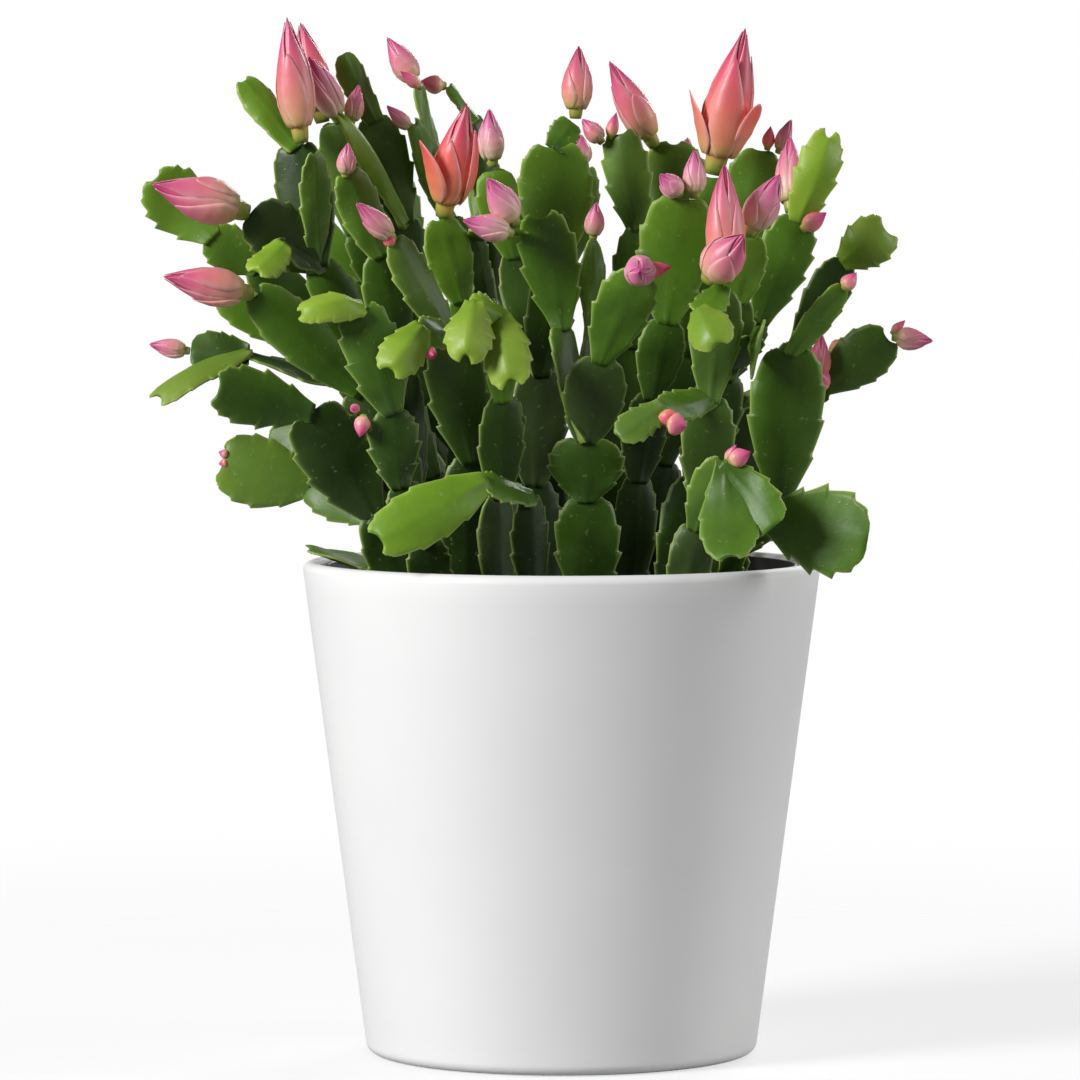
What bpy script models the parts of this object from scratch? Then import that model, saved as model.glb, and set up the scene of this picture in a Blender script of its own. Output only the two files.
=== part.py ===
"""A potted Christmas cactus: a white cover pot, its nursery pot, the potting mix, rooted cuttings and buds.

Metres, +Z up.  The origin is the centre of the pot's flat base.  The broad front of the plant faces -Y.
"""
import math

import bpy
from mathutils import Matrix, Vector

MM = 0.001
GAP = 0.3 * MM                     # what two touching pieces keep between them

# Cover pot
POT_RIM_RADIUS = 75.0 * MM
POT_BASE_RADIUS = 57.0 * MM
POT_HEIGHT = 143.0 * MM
POT_WALL = 5.0 * MM
POT_FLOOR = 6.0 * MM
POT_CORNER = 3.4 * MM              # rounding where the wall meets the base
POT_STEPS = 48

# Nursery pot, which hangs a gap above the cover pot's floor
NURSERY_WALL = 1.2 * MM
NURSERY_RIM_DROP = 1.0 * MM        # its rim lies this far below the cover pot's rim
NURSERY_RIM_RADIUS = 68.6 * MM
NURSERY_RIM_BAND = 9.0 * MM
NURSERY_TOP_RADIUS = 65.6 * MM
NURSERY_BASE_RADIUS = 49.0 * MM
DRAIN_RADIUS = 4.0 * MM
DRAIN_RING_RADIUS = 32.0 * MM
DRAIN_COUNT = 6
DRAIN_CUT_DEPTH = 10.0 * MM
DRAIN_SIDES = 12
NURSERY_STEPS = 40

# Potting mix
SOIL_DROP = 13.0 * MM              # its top lies this far below the cover pot's rim
SOIL_EDGE_SLOPE = 1.5 * MM         # the mix sinks this much towards the wall
SOIL_SLOPE_WIDTH = 8.0 * MM

# Flattened stem segments: (place along the segment, half width as a share of the full half width)
BLADE_STATIONS = ((0.12, 0.60), (0.36, 0.95), (0.68, 1.00), (0.91, 0.72))
BLADE_THICKNESS = 3.2 * MM
NECK_HALF_WIDTH = 2.7 * MM         # the joint between two segments
NECK_THICKNESS = 3.4 * MM
ROOT_HALF_WIDTH = 3.4 * MM
ROOT_THICKNESS = 5.0 * MM
TIP_SHARE = 0.42                   # half width of a cut-off tip, as a share of the full half width
TIP_THICKNESS = 1.8 * MM
ARM_INSET = 1.2 * MM               # how far a side arm starts inside the joint that it grows from
ARM_START_SHARE = 0.7              # a side arm's start, as a share of the joint's size
NEARLY_PARALLEL = 0.2              # below this sine, a segment runs along Y and its side is taken as -X
UP = Vector((0.0, 0.0, 1.0))
LIFT = UP * POT_HEIGHT             # from heights above the pot's rim to heights above its base

# Colours, as linear red, green and blue
CERAMIC_WHITE = (0.86, 0.86, 0.86)
PLASTIC_BLACK = (0.012, 0.013, 0.012)
PEAT_BROWN = (0.035, 0.024, 0.016)
STEM_GREEN = (0.055, 0.16, 0.02)
BUD_PINK = (0.75, 0.16, 0.22)

# Buds: (place along the bud, radius as a share of its greatest radius)
BUD_PROFILE = ((0.0, 0.50), (0.16, 0.62), (0.30, 0.90), (0.50, 1.00), (0.72, 0.74), (0.90, 0.30))
BUD_STEPS = 8


def blade(x, y, z, wide, turn=0, curl=0):
    """One stem segment: the point it grows to (mm, z above the pot's rim), its width, its turn, its curl.

    A turn of 0 shows the broad face to the front, 90 the edge.  Curl bows the segment by that many mm.
    """
    return {"tip": Vector((x, y, z)) * MM, "wide": wide * MM, "turn": math.radians(turn), "curl": curl * MM}


def arm(start, *blades):
    """A run of segments, from a point in mm, z above the pot's rim."""
    return {"start": Vector(start) * MM, "blades": blades}


# Each rooted cutting is one grown piece: its first arm rises from the mix, the others fork from its joints.
ROOT_Z = (GAP - SOIL_DROP) / MM
CUTTINGS = {
    "cutting_front_centre": (
        arm((8, -20, ROOT_Z), blade(7, -24, 19, 19), blade(7, -28, 36, 22), blade(11, -33, 59, 18, 5),
            blade(22, -42, 84, 17, 12, 2)),
        arm((7, -28, 36), blade(0, -22, 68, 12, 50), blade(-6, -30, 100, 17, -8, 2)),
        arm((7, -28, 36), blade(9, -14, 65, 10, 60), blade(9, -14, 93, 9, 40)),
    ),
    "cutting_centre": (
        arm((-4, 6, ROOT_Z), blade(-8, 8, 22, 16, 20), blade(-6, 5, 54, 18, 10), blade(-1, -2, 86, 15, 20),
            blade(-2, -6, 120, 22, 4, 2), blade(3, -4, 127, 9)),
        arm((-6, 5, 54), blade(-14, 12, 88, 13, 20), blade(-20, 10, 113, 14, 10)),
    ),
    "cutting_coral": (
        arm((-17, -6, ROOT_Z), blade(-18, -8, 20, 15, 30), blade(-17, -10, 48, 14, 10),
            blade(-29, -16, 76, 14, 15), blade(-35, -21, 99, 14, 20)),
        arm((-17, -10, 48), blade(-22, -4, 76, 10, 50), blade(-25, -14, 94, 9, 40),
            blade(-13, -36, 96, 12, 70)),
    ),
    "cutting_young_droop": (
        arm((-17, -30, ROOT_Z), blade(-18, -33, 20, 14, 40), blade(-17, -37, 48, 14, 20),
            blade(-17, -41, 72, 10, 10)),
        arm((-17, -41, 71), blade(-15, -58, 55, 14, 10, 3)),
        arm((-17, -41, 71), blade(-25, -49, 75, 11, 30)),
        arm((-25, -49, 75), blade(-27, -61, 62, 14, 5, 2)),
    ),
    "cutting_left_dewy": (
        arm((-28, -20, ROOT_Z), blade(-26, -26, 30, 16, 20), blade(-32, -34, 66, 18, 15),
            blade(-47, -43, 93, 13, 35)),
        arm((-32, -34, 66), blade(-40, -48, 68, 10, 30), blade(-48, -60, 58, 13, 10, 2)),
    ),
    "cutting_rim_leaf": (
        arm((-7, -38, ROOT_Z), blade(-9, -42, 20, 13, 35), blade(-22, -52, 25, 11, 60),
            blade(-51, -68, 10, 17, 10, 2)),
    ),
    "cutting_left_pale": (
        arm((-37, -40, ROOT_Z), blade(-38, -45, 8, 13, 10), blade(-46, -48, 24, 13, 20),
            blade(-48, -50, 45, 15, 15), blade(-57, -50, 74, 17, 10), blade(-73, -58, 74, 10, 40, 3)),
    ),
    "cutting_left_low": (
        arm((-44, -16, ROOT_Z), blade(-54, -20, 14, 14, 15), blade(-72, -26, 44, 22, 5, 1),
            blade(-98, -34, 51, 17, 0, 2)),
        arm((-54, -20, 14), blade(-73, -8, 22, 13, 10), blade(-98, -10, 29, 21, -5, 1)),
    ),
    "cutting_left_rim": (
        arm((-30, -2, ROOT_Z), blade(-46, -4, -3, 9, 60), blade(-73, -10, 4, 12, 82)),
    ),
    "cutting_left_long": (
        arm((-38, 8, ROOT_Z), blade(-46, 5, 20, 15, 20), blade(-58, 2, 50, 16, 10),
            blade(-91, -8, 60, 13, 75), blade(-107, -8, 61, 13, 20)),
        arm((-91, -8, 60), blade(-116, -24, 50, 13, 70, 2)),
        arm((-58, 2, 50), blade(-76, 6, 64, 11, 20), blade(-98, 4, 76, 12, 10)),
    ),
    "cutting_left_grey": (
        arm((-36, -10, ROOT_Z), blade(-43, -14, 18, 15, 10), blade(-58, -20, 50, 18, 10),
            blade(-87, -32, 78, 16, 15)),
        arm((-43, -14, 18), blade(-46, -12, 56, 14, 30), blade(-52, -17, 89, 14, 20),
            blade(-61, -23, 112, 13, 20)),
    ),
    "cutting_left_upper": (
        arm((-28, 4, ROOT_Z), blade(-38, 4, 24, 15, 20), blade(-55, 0, 56, 17, 10), blade(-70, -6, 86, 14, 10),
            blade(-89, -16, 101, 18, 10)),
        arm((-70, -6, 86), blade(-77, -4, 120, 17, -5), blade(-92, 0, 139, 10, 30)),
        arm((-70, -6, 86), blade(-80, -24, 91, 10, 60), blade(-87, -32, 85, 11, 30)),
        arm((-70, -6, 86), blade(-71, -14, 118, 10, 30)),
    ),
    "cutting_left_round": (
        arm((-24, 20, ROOT_Z), blade(-42, 22, 30, 16, 20), blade(-64, 18, 62, 18, 15),
            blade(-89, 10, 85, 15, 10), blade(-102, 6, 94, 14, 0), blade(-118, 4, 111, 19, 0, 2)),
    ),
    "cutting_left_crown": (
        arm((-16, 13, ROOT_Z), blade(-29, 18, 32, 16, 20), blade(-43, 18, 66, 18, 10),
            blade(-60, 18, 95, 13, 10), blade(-66, 12, 127, 14, -10)),
        arm((-43, 18, 66), blade(-46, 24, 98, 15, 20), blade(-55, 24, 128, 15, 10), blade(-64, 22, 147, 9, 20)),
        arm((-46, 24, 98), blade(-62, 4, 129, 10, 60, 1)),
    ),
    "cutting_twin_twigs": (
        arm((-8, 24, ROOT_Z), blade(-13, 28, 30, 15, 20), blade(-20, 32, 64, 17, 20),
            blade(-33, 30, 98, 14, 10), blade(-37, 27, 119, 8, 60), blade(-42, 25, 138, 7, 60)),
        arm((-20, 32, 64), blade(-20, 38, 98, 12, 20), blade(-26, 36, 128, 11, 30), blade(-33, 35, 138, 6, 60)),
        arm((-33, 30, 98), blade(-43, 20, 127, 9, 40)),
    ),
    "cutting_centre_right": (
        arm((10, 10, ROOT_Z), blade(14, 14, 28, 15, 20), blade(20, 18, 62, 18, 10), blade(22, 12, 96, 14, 20),
            blade(17, 12, 124, 14, -10)),
        arm((20, 18, 62), blade(33, 24, 98, 15, 20), blade(33, 24, 121, 19, 0, 2)),
    ),
    "cutting_right_round": (
        arm((19, -10, ROOT_Z), blade(22, -12, 24, 14, 20), blade(26, -14, 48, 14, 20), blade(30, -17, 70, 14, 10),
            blade(35, -20, 105, 22, 5, 2)),
    ),
    "cutting_big_bud": (
        arm((24, 10, ROOT_Z), blade(30, 10, 28, 15, 20), blade(38, 8, 60, 17, 20), blade(43, 4, 88, 13, 10),
            blade(44, 2, 111, 13, 10)),
        arm((38, 8, 60), blade(54, 16, 94, 14, 15), blade(58, 16, 119, 17, 0)),
    ),
    "cutting_front_right": (
        arm((38, -30, ROOT_Z), blade(41, -34, 14, 11, 10), blade(42, -36, 48, 16, 10),
            blade(45, -40, 79, 15, 10)),
        arm((45, -40, 79), blade(39, -50, 73, 10, 30), blade(43, -62, 65, 13, 5, 2)),
        arm((42, -36, 48), blade(28, -50, 46, 10, 20), blade(16, -56, 38, 10, 20)),
    ),
    "cutting_right_glossy": (
        arm((31, -14, ROOT_Z), blade(38, -14, 24, 15, 20), blade(47, -16, 54, 17, 10), blade(50, -22, 76, 13, 10),
            blade(53, -26, 94, 14, 10)),
        arm((47, -16, 54), blade(57, -12, 70, 11, 20), blade(68, -13, 99, 16, 12), blade(77, -15, 123, 13, 10, 3)),
        arm((47, -16, 54), blade(55, -24, 65, 11, 40), blade(54, -46, 61, 16, 75)),
    ),
    "cutting_right_far": (
        arm((36, 6, ROOT_Z), blade(47, 7, 20, 15, 20), blade(59, 6, 42, 17, 10), blade(69, 8, 62, 12, 10),
            blade(82, 4, 87, 13, 10), blade(94, 0, 96, 15, 0, 3)),
        arm((59, 6, 42), blade(76, -4, 51, 11, 10), blade(94, -10, 65, 16, 0)),
    ),
    "cutting_right_low": (
        arm((42, -10, ROOT_Z), blade(50, -14, 4, 14, 20), blade(63, -20, 20, 14, 10),
            blade(66, -24, 61, 22, 5, 2), blade(80, -30, 80, 9, 30)),
    ),
    "cutting_right_rim": (
        arm((46, -23, ROOT_Z), blade(50, -35, 8, 8, 20), blade(58, -46, 15, 14, 20), blade(86, -56, 9, 25, 0, 1)),
    ),
    "cutting_right_droop": (
        arm((34, -42, ROOT_Z), blade(38, -46, 12, 13, 10), blade(46, -54, 31, 14, 10)),
        arm((46, -54, 30), blade(47, -69, 5, 17, 5, 3)),
        arm((46, -54, 30), blade(59, -63, 13, 15, 10, 1)),
    ),
    "cutting_back_left": (
        arm((-22, 30, ROOT_Z), blade(-32, 36, 26, 15, 30), blade(-42, 42, 56, 17, 60),
            blade(-60, 50, 80, 16, 40), blade(-78, 56, 98, 16, 20)),
        arm((-42, 42, 56), blade(-46, 58, 84, 15, 10), blade(-50, 66, 112, 16, 30)),
    ),
    "cutting_back_low_left": (
        arm((-36, 22, ROOT_Z), blade(-46, 32, 12, 15, 30), blade(-58, 44, 34, 17, 30),
            blade(-72, 54, 38, 15, 20), blade(-86, 60, 30, 16, 30, 2)),
        arm((-58, 44, 34), blade(-56, 64, 52, 14, 10), blade(-58, 80, 68, 16, 30)),
    ),
    "cutting_back_centre": (
        arm((-4, 38, ROOT_Z), blade(-6, 42, 26, 16, 10), blade(-8, 50, 58, 18, 20), blade(-16, 60, 86, 16, 10),
            blade(-22, 66, 113, 16, -10)),
        arm((-8, 50, 58), blade(2, 62, 86, 15, 20), blade(6, 66, 114, 14, 0)),
        arm((-8, 50, 58), blade(-4, 74, 74, 14, 20), blade(-2, 88, 88, 15, 30, 2)),
    ),
    "cutting_back_right": (
        arm((22, 30, ROOT_Z), blade(28, 36, 26, 15, 20), blade(38, 42, 56, 17, 60), blade(50, 50, 82, 15, 30),
            blade(60, 54, 106, 16, 0)),
        arm((38, 42, 56), blade(34, 56, 84, 15, 0), blade(36, 62, 112, 17, 20)),
    ),
    "cutting_back_low_right": (
        arm((36, 22, ROOT_Z), blade(46, 30, 10, 15, 20), blade(56, 40, 30, 17, 30), blade(68, 48, 44, 14, 20),
            blade(80, 54, 58, 16, 0)),
        arm((56, 40, 30), blade(54, 60, 44, 14, 20), blade(62, 80, 46, 16, 40, 2)),
    ),
    "cutting_back_rim": (
        arm((6, 44, ROOT_Z), blade(6, 56, 8, 15, 20), blade(4, 72, 22, 17, 20), blade(0, 90, 10, 18, 10, 2)),
        arm((6, 56, 8), blade(-16, 66, 22, 11, 20), blade(-32, 78, 36, 16, 10)),
    ),
}


def bud(base, tip, wide):
    """A flower bud: where its base and its tip lie (mm, z above the pot's rim) and its greatest width."""
    return {"base": Vector(base) * MM, "tip": Vector(tip) * MM, "wide": wide * MM}


BUDS = {
    "bud_left_crown_outer": bud((-75, -7.5, 121), (-79, -10, 157), 10),
    "bud_left_crown_red": bud((-69.5, 13.5, 127), (-76, 14, 156), 10),
    "bud_left_crown_lilac": bud((-64.5, 9.5, 127.3), (-73, -3, 146), 8),
    "bud_left_crown_small": bud((-61.4, 12.5, 126.2), (-59, 15, 138), 5),
    "bud_left_side_upper": bud((-90, -17, 101), (-117, -26, 109), 12),
    "bud_left_side_lower": bud((-88, -33, 78), (-113, -40, 83), 10),
    "bud_left_low": bud((-107.2, -8, 61), (-119, -9, 63), 5),
    "bud_left_inner": bud((-47.5, -43.6, 93.3), (-58, -50, 104), 6),
    "bud_twig_upper": bud((-42.3, 25, 138), (-51, 24, 152), 7),
    "bud_twig_lower": bud((-41, 22.5, 137.2), (-47, 18, 142), 4),
    "bud_twig_right": bud((-34, 35, 138), (-42, 33, 139), 6),
    "bud_big_coral": bud((-34, -22.5, 99.8), (-27, -30, 132), 11),
    "bud_centre_lilac": bud((-20, 10, 114), (-21, 9, 131), 7),
    "bud_pair_upper": bud((-13, -37.5, 97.6), (-21, -44, 111), 8),
    "bud_pair_lower": bud((-14, -40, 95), (-28, -46, 99), 7),
    "bud_centre_tall": bud((4, -4, 128), (5, -3, 149), 8),
    "bud_centre_small": bud((9, -14, 93.2), (10, -16, 104), 5),
    "bud_centre_right": bud((27.4, 23.8, 120.2), (14, 18, 145), 9),
    "bud_front_round": bud((22, -43, 84), (22, -53, 85), 8),
    "bud_right_tallest": bud((44, 2, 112), (53, -4, 154), 13),
    "bud_right_lilac": bud((38, -20, 105), (38, -21, 119), 6),
    "bud_right_pale": bud((34, -21, 106), (28, -26, 112), 6),
    "bud_front_pair_upper": bud((46.5, -38.5, 81), (46, -38, 115), 10),
    "bud_front_pair_lower": bud((41, -43, 82), (51, -54, 95), 11),
    "bud_right_magenta": bud((53, -27, 95), (62, -31, 112), 9),
    "bud_right_dark": bud((66, -9.5, 101), (66, -1, 123), 8),
    "bud_right_far": bud((95.2, -10.3, 65.3), (107, -12, 64), 6),
}


def clear_scene():
    """Remove every object that the start-up file holds."""
    for old in list(bpy.data.objects):
        bpy.data.objects.remove(old, do_unlink=True)


def new_collection(name):
    """A collection under the scene's own."""
    collection = bpy.data.collections.new(name)
    bpy.context.scene.collection.children.link(collection)
    return collection


def make_material(name, colour, roughness, metallic=0.0):
    """A plain Principled material."""
    material = bpy.data.materials.new(name)
    material.use_nodes = True
    shader = material.node_tree.nodes["Principled BSDF"]
    shader.inputs["Base Color"].default_value = (*colour, 1.0)
    shader.inputs["Roughness"].default_value = roughness
    shader.inputs["Metallic"].default_value = metallic
    material.diffuse_color = (*colour, 1.0)
    return material


def mesh_object(name, points, faces, collection, material):
    """An object from points and faces."""
    mesh = bpy.data.meshes.new(name)
    mesh.from_pydata([tuple(point) for point in points], [], faces)
    mesh.update()
    piece = bpy.data.objects.new(name, mesh)
    piece.data.materials.append(material)
    collection.objects.link(piece)
    return piece


def turned(name, profile, steps, collection, material):
    """A solid turned about Z from (radius, height) points that run down its outer side."""
    edges = [(index, index + 1) for index in range(len(profile) - 1)]
    mesh = bpy.data.meshes.new(name)
    mesh.from_pydata([(radius, 0.0, height) for radius, height in profile], edges, [])
    piece = bpy.data.objects.new(name, mesh)
    piece.data.materials.append(material)
    collection.objects.link(piece)
    screw = piece.modifiers.new("turn", "SCREW")
    screw.axis = "Z"
    screw.angle = math.tau
    screw.steps = steps
    screw.render_steps = steps
    screw.use_merge_vertices = True
    screw.merge_threshold = 0.00001
    screw.use_normal_calculate = False
    return piece


def arc(centre, radius, start, stop, count):
    """Points (radius, height) along an arc, angles in degrees."""
    angles = [math.radians(start + (stop - start) * step / count) for step in range(count + 1)]
    return [(centre[0] + radius * math.cos(angle), centre[1] + radius * math.sin(angle)) for angle in angles]


def outer_radius(height):
    """The cover pot's outer radius at a height, on its straight side."""
    share = (height - POT_CORNER) / (POT_HEIGHT - POT_CORNER)
    return POT_BASE_RADIUS + (POT_RIM_RADIUS - POT_BASE_RADIUS) * share


def nursery_radius(height):
    """The nursery pot's outer radius at a height, below its rim band."""
    low = POT_FLOOR + GAP
    share = (height - low) / (POT_HEIGHT - NURSERY_RIM_DROP - low)
    return NURSERY_BASE_RADIUS + (NURSERY_TOP_RADIUS - NURSERY_BASE_RADIUS) * share


def build_cover_pot(collection):
    """The tapered white pot, with a rounded lip and a rounded lower edge."""
    lip = POT_WALL / 2
    floor_radius = outer_radius(POT_FLOOR) - POT_WALL
    profile = arc((POT_RIM_RADIUS - lip, POT_HEIGHT - lip), lip, 90, 0, 4)
    profile += arc((POT_BASE_RADIUS - POT_CORNER, POT_CORNER), POT_CORNER, 0, -90, 4)
    profile = [(0.0, 0.0)] + profile[::-1]
    profile += [(POT_RIM_RADIUS - POT_WALL, POT_HEIGHT - lip), (floor_radius, POT_FLOOR), (0.0, POT_FLOOR)]
    ceramic = make_material("white_ceramic", CERAMIC_WHITE, 0.55)
    return turned("cover_pot", profile[::-1], POT_STEPS, collection, ceramic)


def build_nursery_pot(collection, cutters):
    """The thin black grower's pot inside, with a stepped rim band and drain holes."""
    top = POT_HEIGHT - NURSERY_RIM_DROP
    low = POT_FLOOR + GAP
    band = top - NURSERY_RIM_BAND
    inner_floor = low + NURSERY_WALL
    profile = [
        (0.0, inner_floor),
        (nursery_radius(inner_floor) - NURSERY_WALL, inner_floor),
        (nursery_radius(band) - NURSERY_WALL, band),
        (NURSERY_RIM_RADIUS - NURSERY_WALL, band + NURSERY_WALL),
        (NURSERY_RIM_RADIUS - NURSERY_WALL, top),
        (NURSERY_RIM_RADIUS, top),
        (NURSERY_RIM_RADIUS, band),
        (nursery_radius(band), band - NURSERY_WALL / 2),
        (NURSERY_BASE_RADIUS, low),
        (0.0, low),
    ]
    plastic = make_material("black_plastic", PLASTIC_BLACK, 0.45)
    pot = turned("nursery_pot", profile, NURSERY_STEPS, collection, plastic)
    for index in range(DRAIN_COUNT):
        angle = math.tau * index / DRAIN_COUNT
        place = (DRAIN_RING_RADIUS * math.cos(angle), DRAIN_RING_RADIUS * math.sin(angle), low)
        bpy.ops.mesh.primitive_cylinder_add(
            vertices=DRAIN_SIDES, radius=DRAIN_RADIUS, depth=DRAIN_CUT_DEPTH, location=place)
        cutter = bpy.context.object
        cutter.name = f"cut_drain_{index + 1}"
        stow_cutter(cutter, cutters)
        cut = pot.modifiers.new(cutter.name, "BOOLEAN")
        cut.operation = "DIFFERENCE"
        cut.object = cutter
    return pot


def stow_cutter(cutter, cutters):
    """Move a helper object to the cutters' collection and keep it out of the build."""
    for collection in list(cutter.users_collection):
        collection.objects.unlink(cutter)
    cutters.objects.link(cutter)
    cutter.display_type = "WIRE"
    cutter.hide_render = True


def build_soil(collection):
    """The potting mix, a plug that fills the nursery pot to below its rim."""
    top = POT_HEIGHT - SOIL_DROP
    low = POT_FLOOR + GAP + NURSERY_WALL + GAP
    clear = NURSERY_WALL + GAP
    edge = top - SOIL_EDGE_SLOPE
    profile = [
        (0.0, top),
        (nursery_radius(top) - clear - SOIL_SLOPE_WIDTH, top),
        (nursery_radius(edge) - clear, edge),
        (nursery_radius(low) - clear, low),
        (0.0, low),
    ]
    mix = make_material("potting_mix", PEAT_BROWN, 0.95)
    return turned("potting_mix", profile, NURSERY_STEPS, collection, mix)


def frame_for(direction, turn):
    """The side and face directions of a segment that runs along direction."""
    side = direction.cross(Vector((0.0, 1.0, 0.0)))
    if side.length < NEARLY_PARALLEL:
        side = Vector((-1.0, 0.0, 0.0))
    side = Matrix.Rotation(turn, 3, direction) @ side.normalized()
    side = (side - direction * side.dot(direction)).normalized()
    return side, side.cross(direction)


def ring(centre, side, face, half_width, thickness):
    """Four corners of a flat lens: an edge, a ridge, an edge, a ridge."""
    ridge = face * (thickness / 2)
    return [centre + side * half_width, centre + ridge, centre - side * half_width, centre - ridge]


def segment_sides(blades, directions):
    """Each segment's side direction, turned over where it would flip from one segment to the next."""
    sides = []
    for item, direction in zip(blades, directions):
        side, _ = frame_for(direction, item["turn"])
        if sides and side.dot(sides[-1]) < 0:
            side = -side
        sides.append(side)
    return sides


def start_ring(point, side, direction, rooted):
    """The first cross-section of an arm: upright in the mix, or inside the joint that it forks from."""
    if rooted:
        side = (side - UP * side.z).normalized()
        return ring(point, side, side.cross(UP), ROOT_HALF_WIDTH, ROOT_THICKNESS)
    inside = point - direction * ARM_INSET
    half_width = NECK_HALF_WIDTH * ARM_START_SHARE
    return ring(inside, side, side.cross(direction), half_width, NECK_THICKNESS * ARM_START_SHARE)


def segment_rings(begin, end, item, side, face):
    """The cross-sections along one segment, bowed by its curl."""
    rings = []
    for share, width_share in BLADE_STATIONS:
        bow = face * (4 * item["curl"] * share * (1 - share))
        centre = begin.lerp(end, share) + bow
        rings.append(ring(centre, side, face, item["wide"] / 2 * width_share, BLADE_THICKNESS))
    return rings


def joint_ring(point, directions, sides):
    """The narrow cross-section between two segments, halfway between their directions."""
    mean = (directions[0] + directions[1]).normalized()
    side = sides[0] + sides[1]
    side = (side - mean * side.dot(mean)).normalized()
    return ring(point, side, side.cross(mean), NECK_HALF_WIDTH, NECK_THICKNESS)


def arm_rings(run, rooted):
    """The cross-sections of one arm, from its start to its cut-off tip."""
    blades = run["blades"]
    points = [run["start"] + LIFT] + [item["tip"] + LIFT for item in blades]
    directions = [(end - begin).normalized() for begin, end in zip(points, points[1:])]
    sides = segment_sides(blades, directions)
    rings = [start_ring(points[0], sides[0], directions[0], rooted)]
    for index, item in enumerate(blades):
        face = sides[index].cross(directions[index])
        rings += segment_rings(points[index], points[index + 1], item, sides[index], face)
        if item is blades[-1]:
            rings.append(ring(points[-1], sides[-1], face, item["wide"] / 2 * TIP_SHARE, TIP_THICKNESS))
        else:
            neighbours = slice(index, index + 2)
            rings.append(joint_ring(points[index + 1], directions[neighbours], sides[neighbours]))
    return rings


def loft(name, rings, collection, material):
    """A closed solid through the rings."""
    sides = len(rings[0])
    points = [point for corners in rings for point in corners]
    faces = [tuple(range(sides))]
    for level in range(len(rings) - 1):
        low, high = level * sides, (level + 1) * sides
        for corner in range(sides):
            after = (corner + 1) % sides
            faces.append((low + corner, high + after, low + after))
            faces.append((low + corner, high + corner, high + after))
    faces.append(tuple(range(len(points) - 1, len(points) - sides - 1, -1)))
    return mesh_object(name, points, faces, collection, material)


def build_cutting(name, arms, collection, cutters, material):
    """One rooted cutting: its rooted arm, with its side arms joined on."""
    trunk = loft(name, arm_rings(arms[0], True), collection, material)
    for index, run in enumerate(arms[1:], start=1):
        side_arm = loft(f"{name}_arm_{index}", arm_rings(run, False), cutters, material)
        stow_cutter(side_arm, cutters)
        join = trunk.modifiers.new(f"join_arm_{index}", "BOOLEAN")
        join.operation = "UNION"
        join.object = side_arm
    return trunk


def build_bud(name, spec, collection, material):
    """One closed bud, a spindle turned about the line from its base to its tip."""
    line = spec["tip"] - spec["base"]
    radius = spec["wide"] / 2
    profile = [(0.0, 0.0)]
    profile += [(radius * share_radius, line.length * share) for share, share_radius in BUD_PROFILE]
    profile += [(0.0, line.length)]
    piece = turned(name, profile[::-1], BUD_STEPS, collection, material)
    piece.rotation_mode = "QUATERNION"
    piece.rotation_quaternion = line.to_track_quat("Z", "X")
    piece.location = spec["base"] + line.normalized() * GAP + LIFT
    return piece


def build():
    """Build every piece."""
    clear_scene()
    collection = new_collection("potted_christmas_cactus")
    cutters = new_collection("cutters")
    build_cover_pot(collection)
    build_nursery_pot(collection, cutters)
    build_soil(collection)
    for name, arms in CUTTINGS.items():
        green = make_material(f"green_{name}", STEM_GREEN, 0.45)
        build_cutting(name, arms, collection, cutters, green)
    for name, spec in BUDS.items():
        pink = make_material(f"pink_{name}", BUD_PINK, 0.4)
        build_bud(name, spec, collection, pink)


build()
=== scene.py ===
"""The looks of the potted Christmas cactus: fine stem segments, layered buds, potting mix, pots, light."""
import math

import bpy
import numpy as np
from mathutils import Matrix, Vector


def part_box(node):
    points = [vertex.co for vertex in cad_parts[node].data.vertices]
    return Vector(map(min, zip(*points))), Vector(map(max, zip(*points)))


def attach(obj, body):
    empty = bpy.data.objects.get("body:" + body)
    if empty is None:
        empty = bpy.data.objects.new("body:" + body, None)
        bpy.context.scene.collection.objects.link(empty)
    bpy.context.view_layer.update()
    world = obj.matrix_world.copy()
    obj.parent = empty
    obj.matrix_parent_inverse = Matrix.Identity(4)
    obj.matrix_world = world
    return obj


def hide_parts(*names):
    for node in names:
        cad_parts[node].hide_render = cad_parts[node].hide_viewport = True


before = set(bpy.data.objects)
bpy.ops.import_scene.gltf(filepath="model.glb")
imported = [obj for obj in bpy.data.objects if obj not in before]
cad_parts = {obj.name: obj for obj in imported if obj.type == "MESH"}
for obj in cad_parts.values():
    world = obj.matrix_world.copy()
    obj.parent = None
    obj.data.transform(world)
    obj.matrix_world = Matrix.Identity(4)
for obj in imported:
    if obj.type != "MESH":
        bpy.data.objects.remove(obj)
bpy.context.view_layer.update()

MM = 0.001
ROOT = "root"
POT_LOW, POT_HIGH = (Vector(corner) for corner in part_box("cover_pot"))
POT_HEIGHT = POT_HIGH.z
POT_RIM_RADIUS = POT_HIGH.x
LIFT = Vector((0.0, 0.0, POT_HEIGHT))

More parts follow.
